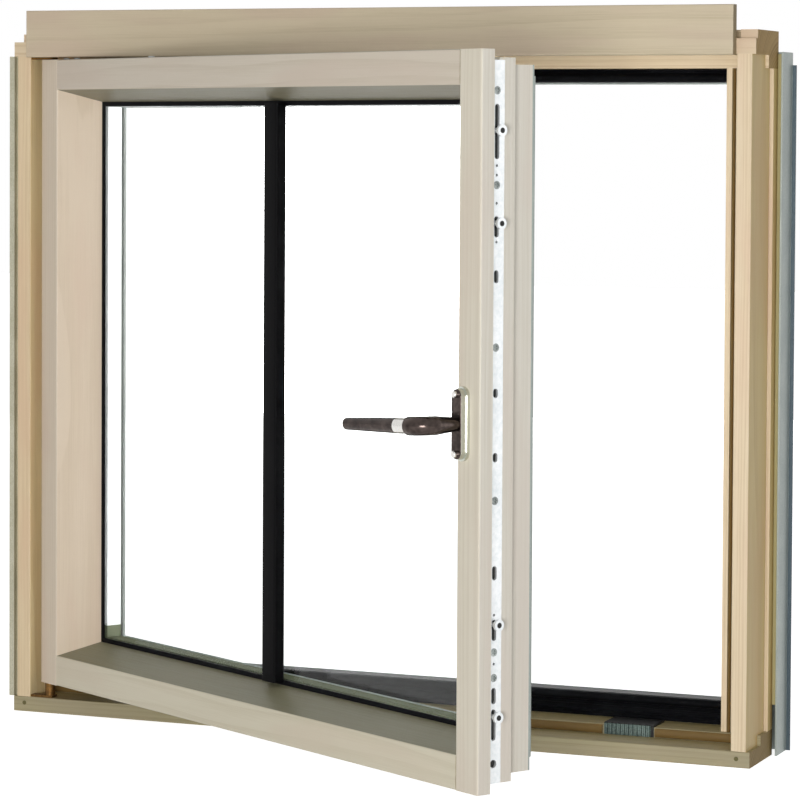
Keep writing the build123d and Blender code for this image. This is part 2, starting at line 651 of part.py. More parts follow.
with BuildPart() as pane_spacer:
    spacer_plane = room_plane(SASH, GLASS_FRONT + PANE)
    spacer_low = (glass_low[0] + SPACER_INSET, glass_low[1] + SPACER_INSET)
    spacer_high = (glass_high[0] - SPACER_INSET, glass_high[1] - SPACER_INSET)
    extrude(panel(spacer_plane, spacer_low, spacer_high), amount=-PANE_GAP)
    hole_low = (spacer_low[0] + SPACER_WIDTH, spacer_low[1] + SPACER_WIDTH)
    hole_high = (spacer_high[0] - SPACER_WIDTH, spacer_high[1] - SPACER_WIDTH)
    extrude(panel(spacer_plane, hole_low, hole_high), amount=-PANE_GAP, mode=Mode.SUBTRACT)
pane_spacer.part.label = "pane_spacer"
export_step(pane_spacer.part, "parts/pane_spacer.step")

with BuildPart() as glazing_gasket:
    gasket_plane = room_plane(SASH, GLASS_DEPTH)
    cover = REVEAL_INSET - BEAD_COVER
    show = REVEAL_INSET + BEAD_SHOW
    extrude(
        panel(gasket_plane, (cover, SASH_BOTTOM + cover), (SASH_WIDTH - cover, SASH_TOP - cover)),
        amount=-BEAD_THICKNESS,
    )
    extrude(
        panel(gasket_plane, (show, SASH_BOTTOM + show), (SASH_WIDTH - show, SASH_TOP - show)),
        amount=-BEAD_THICKNESS,
        mode=Mode.SUBTRACT,
    )
glazing_gasket.part.label = "glazing_gasket"
export_step(glazing_gasket.part, "parts/glazing_gasket.step")

# Outside covers of the sash, mitred at the corners
for place in ("left", "right", "top", "bottom"):
    with BuildPart() as cover:
        cover_section = sash_cover_section()
        if place == "left":
            extrude(outline(SASH.offset(SASH_BOTTOM), cover_section), amount=SASH_HEIGHT)
        elif place == "right":
            section = mirrored(cover_section, SASH_WIDTH)
            extrude(outline(SASH.offset(SASH_BOTTOM), section), amount=SASH_HEIGHT)
        elif place == "top":
            section = [(v, SASH_TOP - s) for s, v in cover_section]
            extrude(outline(cross_plane(SASH, 0), section), amount=SASH_WIDTH)
        else:
            section = [(v, SASH_BOTTOM + s) for s, v in cover_section]
            extrude(outline(cross_plane(SASH, 0), section), amount=SASH_WIDTH)
        reach = SASH_COVER_OVER_GLASS + MITRE_MARGIN
        mitre_plane = room_plane(SASH, COVER_BACK + 2 * CLADDING_SHEET)
        if place in ("left", "right"):
            mitre = [(0, SASH_BOTTOM), (reach, SASH_BOTTOM + reach), (reach, SASH_TOP - reach), (0, SASH_TOP)]
            mitre = mitre if place == "left" else mirrored(mitre, SASH_WIDTH)
        else:
            edge = SASH_TOP if place == "top" else SASH_BOTTOM
            inner = SASH_TOP - reach if place == "top" else SASH_BOTTOM + reach
            mitre = [(0, edge), (reach, inner), (SASH_WIDTH - reach, inner), (SASH_WIDTH, edge)]
        extrude(outline(mitre_plane, mitre), amount=SASH_THICKNESS, mode=Mode.INTERSECT)
    cover.part.label = f"sash_{place}_cover"
    export_step(cover.part, f"parts/sash_{place}_cover.step")

# Lock faceplate down the free edge of the sash, with slots over the drive rod
edge_plane = Plane(origin=SASH.from_local_coords(Vector(PLATE_U, PLATE_V, 0)), x_dir=SASH.y_dir, z_dir=SASH.x_dir)
plate_low_z = SASH_BOTTOM + SECOND_STEP
plate_high_z = SASH_TOP - PLATE_END
slot_places = [(SASH_HEIGHT - place, length) for place, length in UPPER_SLOTS] + list(LOWER_SLOTS)
screw_heights = [SASH_HEIGHT - place for place in UPPER_SCREW_HOLES] + list(LOWER_SCREW_HOLES)
peg_heights = [SASH_HEIGHT - place for place in UPPER_PEG_HOLES] + list(LOWER_PEG_HOLES)
with BuildPart() as lock_faceplate:
    extrude(
        panel(edge_plane, (-PLATE_WIDTH / 2, plate_low_z), (PLATE_WIDTH / 2, plate_high_z)),
        amount=-PLATE_THICKNESS,
    )
    with BuildSketch(edge_plane):
        for height, length in slot_places:
            with Locations((0, SASH_BOTTOM + height)):
                SlotOverall(length, SLOT_WIDTH, rotation=90)
        with Locations(*[(0, SASH_BOTTOM + height) for height in screw_heights]):
            Circle(SCREW_HOLE / 2)
        with Locations(*[(0, SASH_BOTTOM + height) for height in peg_heights]):
            Circle(PEG_HOLE / 2)
        with Locations((0, SASH_BOTTOM + LATCH_HOLE_HEIGHT)):
            Circle(LATCH_HOLE / 2)
    extrude(amount=-PLATE_THICKNESS, mode=Mode.SUBTRACT)
lock_faceplate.part.label = "lock_faceplate"
export_step(lock_faceplate.part, "parts/lock_faceplate.step")

with BuildPart() as drive_rod:
    extrude(
        panel(
            edge_plane.offset(-PLATE_THICKNESS),
            (-ROD_WIDTH / 2, plate_low_z + ROD_END),
            (ROD_WIDTH / 2, plate_high_z - ROD_END),
        ),
        amount=-ROD_THICKNESS,
    )
drive_rod.part.label = "drive_rod"
export_step(drive_rod.part, "parts/drive_rod.step")

# Mushroom cams that ride on the drive rod and reach out through the faceplate
with BuildPart() as locking_cams:
    for height in CAM_HEIGHTS:
        with BuildSketch(edge_plane.offset(-PLATE_THICKNESS)):
            with Locations((0, SASH_BOTTOM + height)):
                Circle(CAM_STEM_RADIUS)
        extrude(amount=PLATE_THICKNESS + CAM_REACH)
        with BuildSketch(edge_plane.offset(CAM_REACH - CAM_HEAD)):
            with Locations((0, SASH_BOTTOM + height)):
                Circle(CAM_RADIUS)
        extrude(amount=CAM_HEAD)
locking_cams.part.label = "locking_cams"
export_step(locking_cams.part, "parts/locking_cams.step")

# Short lock plate and cam under the bottom rail, which meet the sill keeper
bottom_plane = Plane(
    origin=SASH.from_local_coords(Vector(0, 0, SASH_BOTTOM + SECOND_STEP)),
    x_dir=SASH.x_dir,
    z_dir=(0, 0, -1),
)
with BuildPart() as bottom_lock_plate:
    plate_centre = (plate_end - BOTTOM_PLATE_LENGTH / 2, -PLATE_V)
    cam_place = (SASH_WIDTH + SASH_MARGIN - KEEPER_FROM_CORNER, -PLATE_V)
    with BuildSketch(bottom_plane):
        with Locations(plate_centre):
            Rectangle(BOTTOM_PLATE_LENGTH, PLATE_WIDTH)
    extrude(amount=-PLATE_THICKNESS)
    with BuildSketch(bottom_plane):
        with Locations(cam_place):
            Circle(CAM_STEM_RADIUS)
    extrude(amount=CAM_REACH)
    with BuildSketch(bottom_plane.offset(CAM_REACH - CAM_HEAD)):
        with Locations(cam_place):
            Circle(CAM_RADIUS)
    extrude(amount=CAM_HEAD)
bottom_lock_plate.part.label = "bottom_lock_plate"
export_step(bottom_lock_plate.part, "parts/bottom_lock_plate.step")

# Stay arm along the top edge of the sash, its studs showing in the gap under the board
with BuildPart() as stay_arm:
    arm_v = LIP_THICKNESS + SEAT_GAP + STAY_WIDTH / 2
    arm_low = (PIVOT_INSET, arm_v - STAY_WIDTH / 2)
    arm_high = (PIVOT_INSET + STAY_LENGTH, arm_v + STAY_WIDTH / 2)
    arm_base = SASH.offset(SASH_TOP - SECOND_STEP)
    extrude(panel(arm_base, arm_low, arm_high), amount=STAY_THICKNESS)
    with BuildSketch(arm_base):
        with Locations(*[(place, arm_v) for place in STUD_PLACES]):
            Circle(STUD_RADIUS)
    extrude(amount=SECOND_STEP + BOARD_GAP - 2 * SEAT_GAP)
stay_arm.part.label = "stay_arm"
export_step(stay_arm.part, "parts/stay_arm.step")

# Pivot brackets under the head and on the sill, each with the pin that the sash turns on
pin_u = SASH_MARGIN + PIVOT_INSET
bracket_low = (JAMB_LIP, PIVOT_INSET - BRACKET_DEPTH / 2)
bracket_high = (pin_u + PIVOT_BOSS_RADIUS, PIVOT_INSET + BRACKET_DEPTH / 2)
with BuildPart() as upper_pivot_bracket:
    plate_z = SASH_TOP + SEAT_GAP
    extrude(panel(FRAME.offset(plate_z), bracket_low, bracket_high), amount=JAMB_TOP - plate_z)
    with BuildSketch(FRAME.offset(plate_z)):
        with Locations((pin_u, PIVOT_INSET)):
            Circle(PIN_RADIUS)
    extrude(amount=-PIN_LENGTH)
upper_pivot_bracket.part.label = "upper_pivot_bracket"
export_step(upper_pivot_bracket.part, "parts/upper_pivot_bracket.step")

with BuildPart() as lower_pivot_bracket:
    boss_top = SASH_BOTTOM - SEAT_GAP
    extrude(panel(FRAME.offset(SILL_LIP), bracket_low, bracket_high), amount=BRACKET_PLATE)
    with BuildSketch(FRAME.offset(SILL_LIP)):
        with Locations((pin_u, PIVOT_INSET)):
            Circle(PIVOT_BOSS_RADIUS)
    extrude(amount=boss_top - SILL_LIP)
    with BuildSketch(FRAME.offset(boss_top)):
        with Locations((pin_u, PIVOT_INSET)):
            Circle(PIN_RADIUS)
    extrude(amount=PIN_LENGTH)
lower_pivot_bracket.part.label = "lower_pivot_bracket"
export_step(lower_pivot_bracket.part, "parts/lower_pivot_bracket.step")

# Handle: slim rose with two studs, a cone-shaped neck that turns into the lever, collar and grip
face = room_plane(SASH, 0)
towards_room = Axis((0, 0, 0), -SASH.y_dir)
with BuildPart() as handle_rose:
    with BuildSketch(face):
        with Locations((HANDLE_U, HANDLE_Z)):
            SlotOverall(ROSE_HEIGHT, ROSE_WIDTH, rotation=90)
    extrude(amount=ROSE_BASE)
    with BuildSketch(face.offset(ROSE_BASE)):
        with Locations((HANDLE_U, HANDLE_Z)):
            SlotOverall(ROSE_BOSS_HEIGHT, ROSE_BOSS_WIDTH, rotation=90)
    extrude(amount=ROSE_BOSS, taper=ROSE_TAPER)
    fillet(handle_rose.faces().sort_by(towards_room)[-1].edges(), ROSE_ROUND)
handle_rose.part.label = "handle_rose"
export_step(handle_rose.part, "parts/handle_rose.step")

neck_start = ROSE_BASE + ROSE_BOSS
droop = radians(LEVER_DROOP)
lever_dir = -SASH.x_dir * cos(droop) - Vector(0, 0, sin(droop))
neck_root = SASH.from_local_coords(Vector(HANDLE_U, -neck_start, HANDLE_Z))
cone_end = neck_root - SASH.y_dir * NECK_CONE
elbow = neck_root - SASH.y_dir * NECK_REACH
neck_tip = elbow + lever_dir * LEVER_SHOULDER
with BuildPart() as handle_neck:
    with BuildSketch(Plane(origin=neck_root, z_dir=-SASH.y_dir)):
        Circle(NECK_ROOT_RADIUS)
    with BuildSketch(Plane(origin=cone_end, z_dir=-SASH.y_dir)):
        Circle(NECK_RADIUS)
    loft()
    with BuildLine():
        FilletPolyline(cone_end, elbow, neck_tip, radius=LEVER_BEND)
    with BuildSketch(Plane(origin=cone_end, z_dir=-SASH.y_dir)):
        Circle(NECK_RADIUS)
    sweep()
    fillet(handle_neck.faces().sort_by(Axis((0, 0, 0), lever_dir))[-1].edges(), NECK_ROUND)
handle_neck.part.label = "handle_neck"
export_step(handle_neck.part, "parts/handle_neck.step")

with BuildPart() as handle_collar:
    with BuildSketch(Plane(origin=neck_tip, z_dir=lever_dir)):
        Circle(COLLAR_RADIUS)
    extrude(amount=COLLAR_LENGTH)
handle_collar.part.label = "handle_collar"
export_step(handle_collar.part, "parts/handle_collar.step")

with BuildPart() as handle_grip:
    grip_start = neck_tip + lever_dir * COLLAR_LENGTH
    grip_plane = Plane(origin=grip_start, x_dir=-SASH.y_dir, z_dir=lever_dir)
    for distance, scale in ((0, 1.0), (GRIP_LENGTH, GRIP_END_SCALE)):
        with BuildSketch(grip_plane.offset(distance)):
            Ellipse(GRIP_THICKNESS / 2 * scale, GRIP_HEIGHT / 2 * scale)
    loft()
    fillet(handle_grip.faces().sort_by(Axis((0, 0, 0), lever_dir))[-1].edges(), GRIP_END_ROUND)
handle_grip.part.label = "handle_grip"
export_step(handle_grip.part, "parts/handle_grip.step")

with BuildPart() as rose_screws:
    with BuildSketch(face.offset(neck_start)):
        with Locations((HANDLE_U, HANDLE_Z)):
            with GridLocations(SCREW_SPACING, SCREW_SPACING, 1, 2):
                Circle(SCREW_RADIUS)
    extrude(amount=SCREW_HEIGHT)
    fillet(rose_screws.edges().group_by(towards_room)[-1], SCREW_ROUND)
rose_screws.part.label = "rose_screws"
export_step(rose_screws.part, "parts/rose_screws.step")
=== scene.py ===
import logging
import math
from dataclasses import dataclass, field, replace
from enum import Enum
from typing import Any, Dict, List, Optional, Sequence, Tuple, Union

import bmesh
import bpy
import numpy as np
from mathutils import Matrix, Vector


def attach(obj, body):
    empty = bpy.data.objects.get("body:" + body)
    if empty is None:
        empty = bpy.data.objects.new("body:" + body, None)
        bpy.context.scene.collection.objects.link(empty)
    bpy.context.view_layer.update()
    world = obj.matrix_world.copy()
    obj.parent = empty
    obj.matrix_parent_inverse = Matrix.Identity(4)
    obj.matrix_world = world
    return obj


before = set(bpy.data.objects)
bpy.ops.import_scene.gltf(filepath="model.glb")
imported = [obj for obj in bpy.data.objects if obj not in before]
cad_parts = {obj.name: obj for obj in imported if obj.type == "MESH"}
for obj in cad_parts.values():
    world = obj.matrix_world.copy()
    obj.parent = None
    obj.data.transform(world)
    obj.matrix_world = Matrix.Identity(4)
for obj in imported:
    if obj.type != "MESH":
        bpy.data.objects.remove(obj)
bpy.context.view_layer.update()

Colour = Tuple[float, float, float]
Triple = Tuple[float, float, float]
Shape = Tuple[np.ndarray, List[Sequence[int]]]
WHITE = (1.0, 1.0, 1.0)
SHARP_ANGLE = math.radians(32)
OPEN_ANGLE = math.radians(30.9)
log = logging.getLogger("window")


def shown(red: int, green: int, blue: int) -> Colour:
    """Colour as a screen shows it, from 0 to 255, turned into the shader's linear values."""
    return tuple(((c / 255 + 0.055) / 1.055) ** 2.4 if c > 10 else c / 3294.6 for c in (red, green, blue))


@dataclass(frozen=True)
class Lay:
    """Where something lies: u runs along it, v goes through it to the outside, z is up; metres."""

    origin: Tuple[float, float]
    along: Tuple[float, float]

    @property
    def through(self) -> Tuple[float, float]:
        """Direction through the wall to the outside, square to along."""
        return (-self.along[1], self.along[0])

    def points(self, local: np.ndarray) -> np.ndarray:
        """Points of the row frame for (u, v, z) points: origin + u * along + v * through."""
        axes = np.array([(*self.along, 0.0), (*self.through, 0.0), (0.0, 0.0, 1.0)])
        return local @ axes + np.array((*self.origin, 0.0))

    def depth(self, v: float) -> float:
        """Distance from the row's origin, along through, of the plane at depth v."""
        return float(np.dot(self.origin, self.through)) + v


FRAME_LAY = Lay((-0.390, -0.039), (1.0, 0.0))
SASH_LAY = Lay(
    (
        -0.352 - 0.007 * (math.cos(OPEN_ANGLE) + math.sin(OPEN_ANGLE)),
        -0.032 - 0.007 * (math.cos(OPEN_ANGLE) - math.sin(OPEN_ANGLE)),
    ),
    (math.cos(OPEN_ANGLE), -math.sin(OPEN_ANGLE)),
)


class Grain(Enum):
    """How timber lies: unit vectors along its fibres, across them in its width, and through it."""

    JAMB = ((0.0, 0.0, 1.0), (-1.0, 0.0, 0.0), (0.0, -1.0, 0.0))
    STILE = ((0.0, 0.0, 1.0), (*SASH_LAY.along, 0.0), (*SASH_LAY.through, 0.0))
    SILL = ((1.0, 0.0, 0.0), (0.0, 0.0, 1.0), (0.0, -1.0, 0.0))
    RAIL = (
        (*SASH_LAY.along, 0.0), (0.0, 0.0, 1.0), (-SASH_LAY.through[0], -SASH_LAY.through[1], 0.0),
    )


class Wire:
    """A shader value that can be used in Python arithmetic; each operation adds a Math node."""

    def __init__(self, graph: "Graph", socket: bpy.types.NodeSocket) -> None:
        """Wraps one output socket."""
        self.graph = graph
        self.socket = socket

    def __add__(self, other: "Number") -> "Wire":
        """Sum."""
        return self.graph.maths("ADD", self, other)

    def __radd__(self, other: "Number") -> "Wire":
        """Reflected sum."""
        return self.graph.maths("ADD", other, self)

    def __sub__(self, other: "Number") -> "Wire":
        """Difference."""
        return self.graph.maths("SUBTRACT", self, other)

    def __rsub__(self, other: "Number") -> "Wire":
        """Reflected difference."""
        return self.graph.maths("SUBTRACT", other, self)

    def __mul__(self, other: "Number") -> "Wire":
        """Product."""
        return self.graph.maths("MULTIPLY", self, other)

    def __rmul__(self, other: "Number") -> "Wire":
        """Reflected product."""
        return self.graph.maths("MULTIPLY", other, self)

    def __truediv__(self, other: "Number") -> "Wire":
        """Quotient."""
        return self.graph.maths("DIVIDE", self, other)

    def __rtruediv__(self, other: "Number") -> "Wire":
        """Reflected quotient."""
        return self.graph.maths("DIVIDE", other, self)


Number = Union[Wire, float, int]


class Graph:
    """Builds the nodes of one material or of the world."""

    def __init__(self, owner: bpy.types.ID, output: str = "ShaderNodeOutputMaterial") -> None:
        """Empties the owner's node tree and gives it an output node.

        Args:
            owner: the material or the world.
            output: type of its output node.
        """
        owner.use_nodes = True
        self.owner = owner
        self.tree = owner.node_tree
        self.tree.nodes.clear()
        self.output = self.tree.nodes.new(output)

    @classmethod
    def named(cls, name: str) -> "Graph":
        """Graph of a new material."""
        return cls(bpy.data.materials.new(name))

    def node(self, kind: str, settings: Optional[Dict[str, Any]] = None, **inputs: Any) -> bpy.types.Node:
        """Adds a node.

        Args:
            kind: Blender's node type.
            settings: properties that are set before the inputs.
            inputs: socket values or links; an underscore stands for a space, and "at_0" is socket 0.

        Returns:
            The new node.
        """
        made = self.tree.nodes.new(kind)
        for key, value in (settings or {}).items():
            setattr(made, key, value)
        for key, value in inputs.items():
            index = int(key[3:]) if key.startswith("at_") else key.replace("_", " ")
            self.feed(made.inputs[index], value)
        return made

    def feed(self, socket: bpy.types.NodeSocket, value: Any) -> None:
        """Links or sets one socket.

        Args:
            socket: the input.
            value: a Wire, an output socket, a colour of three numbers or a plain value.
        """
        if isinstance(value, Wire):
            self.tree.links.new(value.socket, socket)
        elif isinstance(value, bpy.types.NodeSocket):
            self.tree.links.new(value, socket)
        elif isinstance(value, tuple) and len(value) == 3 and socket.type == "RGBA":
            socket.default_value = (*value, 1.0)
        else:
            socket.default_value = value

    def maths(self, operation: str, first: Number, second: Number = 0.0) -> Wire:
        """One Math node as a value."""
        made = self.node("ShaderNodeMath", {"operation": operation}, at_0=first, at_1=second)
        return Wire(self, made.outputs[0])

    def smooth(self, value: Number, low: float, high: float) -> Wire:
        """Smooth step.

        Args:
            value: what is compared.
            low: below this the result is 0.
            high: above this the result is 1.

        Returns:
            A value from 0 to 1.
        """
        settings = {"interpolation_type": "SMOOTHSTEP"}
        made = self.node("ShaderNodeMapRange", settings, Value=value, From_Min=low, From_Max=high)
        return Wire(self, made.outputs["Result"])

    def vector(self, operation: str, first: Any, second: Any) -> bpy.types.NodeSocket:
        """One Vector Math node's vector."""
        made = self.node("ShaderNodeVectorMath", {"operation": operation}, at_0=first, at_1=second)
        return made.outputs["Vector"]

    def dot(self, first: Any, second: Any) -> Wire:
        """Dot product of two vectors."""
        made = self.node("ShaderNodeVectorMath", {"operation": "DOT_PRODUCT"}, at_0=first, at_1=second)
        return Wire(self, made.outputs["Value"])

    def combine(self, x: Number, y: Number, z: Number) -> bpy.types.NodeSocket:
        """Vector from three values."""
        return self.node("ShaderNodeCombineXYZ", None, X=x, Y=y, Z=z).outputs["Vector"]

    def place(self) -> bpy.types.NodeSocket:
        """The object's own coordinates, in metres."""
        return self.node("ShaderNodeTexCoord").outputs["Object"]

    def facing(self, direction: Triple) -> Wire:
        """How far the surface faces this direction or its opposite, from 0 to 1."""
        normal = self.node("ShaderNodeNewGeometry").outputs["Normal"]
        return self.maths("ABSOLUTE", self.dot(normal, direction))

    def noise(self, where: Any, scale: float, detail: float = 2.0, rough: float = 0.5) -> Wire:
        """Noise from 0 to 1."""
        inputs = {"Vector": where, "Scale": scale, "Detail": detail, "Roughness": rough}
        return Wire(self, self.node("ShaderNodeTexNoise", None, **inputs).outputs["Fac"])

    def mix(self, factor: Number, first: Any, second: Any, blend: str = "MIX") -> bpy.types.NodeSocket:
        """Colour between two colours.

        Args:
            factor: 0 gives the first colour, 1 the second.
            first: colour or link.
            second: colour or link.
            blend: how the second colour is laid over the first.

        Returns:
            The colour's socket.
        """
        settings = {"data_type": "RGBA", "blend_type": blend, "clamp_factor": True}
        made = self.node("ShaderNodeMix", settings, at_0=factor, at_6=first, at_7=second)
        return made.outputs[2]

    def bump(self, height: Number, distance: float, strength: float) -> bpy.types.NodeSocket:
        """Normal that follows a height."""
        made = self.node("ShaderNodeBump", None, Height=height, Distance=distance, Strength=strength)
        return made.outputs["Normal"]

    def principled(self, **inputs: Any) -> bpy.types.Material:
        """Ends the graph in a Principled shader.

        Args:
            inputs: its socket values or links, named as in node.

        Returns:
            The graph's material.
        """
        made = self.node("ShaderNodeBsdfPrincipled", None, **inputs)
        self.feed(self.output.inputs["Surface"], made.outputs["BSDF"])
        return self.owner


@dataclass(frozen=True)
class Streaks:
    """Noise stretched along the fibres: how fine it is across them and along them, and its detail."""

    across: float
    along: float
    detail: float = 2.0
    rough: float = 0.5

    def wire(self, g: Graph, s: Wire, t: Wire, w: Wire) -> Wire:
        """The noise, from 0 to 1, at s along the fibres and at t and w across them."""
        where = g.combine(t * self.across, w * self.across, s * self.along)
        return g.noise(where, 1.0, self.detail, self.rough)


SWAY = Streaks(7.0, 1.3)
WAVER = Streaks(60.0, 5.0, 1.0)
FIBRES = Streaks(1200.0, 16.0, 3.0, 0.6)
BANDS = Streaks(95.0, 1.2)
CLOUDS = Streaks(24.0, 5.0)


@dataclass(frozen=True)
class Timber:
    """Sawn softwood with year rings, fibres and end grain, under a clear or white finish.

    edge is painted light and shade: a tint, set for each timber, that darkens or lightens the faces that
    look across the grain as light would.
    """

    name: str
    pale: Colour
    late: Colour
    blush: Colour
    edge: Colour
    end: Colour
    end_late: Colour
    contrast: float = 0.4
    ring: float = 0.0036
    fibre: float = 0.3
    sway: float = 0.020
    waver: float = 0.0016
    broad: float = 0.5
    bunches: float = 70.0
    drift: float = 3.0
    late_wood: Tuple[float, float] = (0.15, 0.95)
    ring_rows: Tuple[float, float] = (0.3, 0.62)
    streaks: Tuple[float, float] = (0.32, 0.72)
    clouds: Tuple[float, float] = (0.44, 0.66)
    cloud_share: float = 0.65
    painted_side_on: Tuple[float, float] = (0.75, 0.95)
    end_on: Tuple[float, float] = (0.8, 0.95)
    roughness: float = 0.48
    coat: float = 0.10
    relief: float = 0.0002

    def material(
        self, piece: str, grain: Grain, pith: Tuple[float, float], tint: Colour,
    ) -> bpy.types.Material:
        """Material of one piece of timber: rings are circles about the pith, streaks run with the fibres.

        Args:
            piece: name of the piece, so that each has its own material.
            grain: how the piece lies.
            pith: place of the tree's centre beside the piece, in metres, across and through it.
            tint: colour of this piece beside its neighbours; on the sill it is partly painted shade.

        Returns:
            The material.
        """
        g = Graph.named(f"{self.name}_{piece}")
        along, across, through = grain.value
        p = g.place()
        s = g.dot(p, along)
        t = g.dot(p, across) + pith[0]
        w = g.dot(p, through) + pith[1]

        # Year rings: distance from the pith, bent by slow and quick noise, as a saw-tooth darkening outwards
        sway = SWAY.wire(g, s, t, w)
        waver = WAVER.wire(g, s, t, w)
        radius = g.maths("SQRT", t * t + w * w) + (sway - 0.5) * self.sway + (waver - 0.5) * self.waver
        spread = g.noise(g.combine(radius * self.bunches, 0.0, 0.0), 1.0)
        turn = g.maths("FRACT", radius / self.ring + spread * self.drift)
        rise = g.smooth(turn, *self.late_wood)
        late = rise * (1.0 - g.smooth(turn, self.late_wood[1], 1.0)) * g.smooth(spread, *self.ring_rows)

        # Fibres, broad bands and clouds, each stretched along the piece
        fine = FIBRES.wire(g, s, t, w)
        band = BANDS.wire(g, s, t, w)
        cloud = CLOUDS.wire(g, s, t, w)
        streak = g.smooth(fine, *self.streaks)
        mask = late * self.contrast + (streak - 0.5) * self.fibre + (band - 0.5) * self.broad
        wood = g.mix(mask, self.pale, self.late)
        wood = g.mix(g.smooth(cloud, *self.clouds) * self.cloud_share, wood, self.blush)

        # Faces that look across the grain get the edge tint, which is painted light and shade; sawn ends get
        # their own colour
        side = g.smooth(g.facing(across), *self.painted_side_on)
        wood = g.mix(side, wood, g.mix(1.0, wood, self.edge, "MULTIPLY"))
        cut = g.smooth(g.facing(along), *self.end_on)
        wood = g.mix(cut, wood, g.mix(late * 0.8 + (fine - 0.5) * 0.6, self.end, self.end_late))
        return g.principled(
            Base_Color=g.mix(1.0, wood, tint, "MULTIPLY"),
            Roughness=self.roughness + streak * 0.08 + cut * 0.2,
            Coat_Weight=self.coat * (1.0 - cut),
            Coat_Roughness=0.3,
            Normal=g.bump(streak * 0.5 + late * 0.5, self.relief, 0.45),
        )


@dataclass(frozen=True)
class Part:
    """A stretch of a piece that has a second colour: beyond start, measured along a direction."""

    direction: Triple
    start: float
    colour: Colour
    both_ways: bool = False
    soft: float = 0.0001

    def mask(self, g: Graph, place: bpy.types.NodeSocket) -> Wire:
        """Where the second colour lies.

        Args:
            g: the material's graph.
            place: the object's own coordinates.

        Returns:
            1 on the stretch and 0 off it.
        """
        reach = g.dot(place, self.direction)
        reach = g.maths("ABSOLUTE", reach) if self.both_ways else reach
        return g.smooth(reach, self.start - self.soft, self.start + self.soft)


@dataclass(frozen=True)
class Metal:
    """Metal or a metallic coat with a faint flake or a brushed pattern."""

    name: str
    colour: Colour
    shade: Colour
    metallic: float = 1.0
    roughness: float = 0.3
    spread: float = 0.1
    cell: float = 400.0
    brushed: bool = False
    gloss: float = 0.5

    def material(self, part: Optional[Part] = None) -> bpy.types.Material:
        """The finish as a material.

        Args:
            part: where a second colour starts, if there is one.

        Returns:
            The material.
        """
        g = Graph.named(self.name)
        p = g.place()
        where = g.vector("MULTIPLY", p, (1.0, 1.0, 0.04)) if self.brushed else p
        grain = g.noise(where, self.cell * (4.0 if self.brushed else 1.0), 3.0, 0.6)
        cloud = g.noise(p, self.cell * 0.05)
        mask = g.smooth(grain * 0.6 + cloud * 0.4, 0.3, 0.7)
        colour = g.mix(mask, self.colour, self.shade)
        if part:
            colour = g.mix(part.mask(g, p), colour, part.colour)
        return g.principled(
            Base_Color=colour,
            Metallic=self.metallic,
            Roughness=self.roughness + (mask - 0.5) * self.spread,
            Specular_IOR_Level=self.gloss,
            Normal=g.bump(grain, 0.00003, 0.35),
        )


@dataclass(frozen=True)
class Rubber:
    """Rubber, paint or plastic with a fine tooth and some dust."""

    name: str
    colour: Colour = (0.0035, 0.0035, 0.0045)
    dust: Colour = (0.016, 0.018, 0.020)
    roughness: float = 0.42
    gloss: float = 0.03

    def material(self) -> bpy.types.Material:
        """The finish as a material.

        Returns:
            The material.
        """
        g = Graph.named(self.name)
        p = g.place()
        fine = g.noise(p, 900.0, 3.0, 0.6)
        mask = g.smooth(g.noise(p, 14.0, 3.0), 0.5, 0.8) * 0.4 + fine * 0.15
        return g.principled(
            Base_Color=g.mix(mask, self.colour, self.dust),
            Roughness=self.roughness + fine * 0.12,
            Specular_IOR_Level=self.gloss,
            Normal=g.bump(fine, 0.00005, 0.5),
        )


@dataclass(frozen=True)
class ClearGlass:
    """Hardly tinted glass; its low index keeps the panes from mirroring the white backdrop."""

    name: str = "clear_glass_pane"
    tint: Colour = (0.99, 0.997, 0.994)
    index: float = 1.16

    def material(self) -> bpy.types.Material:
        """The finish as a material.

        Returns:
            The material.
        """
        g = Graph.named(self.name)
        haze = g.noise(g.place(), 6.0)
        return g.principled(
            Base_Color=self.tint, Roughness=haze * 0.004, IOR=self.index, Transmission_Weight=1.0,
        )


# The fifth colour of each timber, its edge, is painted light and shade on its cross-grain faces: below 1 it
# darkens them, above 1 it lightens them
GOLD_PINE = Timber(
    "golden_pine", shown(230, 212, 182), shown(196, 168, 124), shown(224, 196, 168),
    (0.81, 0.75, 0.45), shown(176, 148, 96), shown(128, 98, 46), 0.40,
)
# Shaded and lit copies of the golden pine: painted shade on the head's cross-grain faces, painted light on
# the hinge-side jamb's
GOLD_HEAD_PAINTED_SHADE = replace(GOLD_PINE, name="golden_pine_head_painted_shade", edge=(0.60, 0.58, 0.42))
GOLD_HINGE_PAINTED_LIGHT = replace(GOLD_PINE, name="golden_pine_hinge_painted_light", edge=(1.25, 1.30, 1.15))
SILL_PINE = Timber(
    "sill_pine", shown(176, 168, 136), shown(128, 116, 78), shown(168, 158, 134),
    (0.95, 0.90, 0.75), shown(150, 130, 86), shown(110, 88, 44), 0.45,
)
WHITE_PINE = Timber(
    "washed_pine", shown(226, 218, 203), shown(200, 188, 166), shown(222, 209, 194),
    (1.06, 1.09, 1.16), shown(206, 194, 170), shown(176, 160, 132), 0.30, 0.0042, 0.22,
)
# Shaded and lit copies of the washed pine: painted shade on the rails' cross-grain faces, painted light on
# the hinge-side stile's
WHITE_RAIL_PAINTED_SHADE = replace(WHITE_PINE, name="washed_pine_rail_painted_shade", edge=(0.32, 0.33, 0.26))
WHITE_HINGE_PAINTED_LIGHT = replace(WHITE_PINE, name="washed_pine_hinge_painted_light", edge=(1.06, 1.03, 1.00))
BOARD_PINE = Timber(
    "board_pine", shown(206, 191, 163), shown(172, 154, 120), shown(200, 178, 156),
    (0.7, 0.68, 0.60), shown(150, 136, 106), shown(116, 100, 70), 0.35, 0.0052,
)

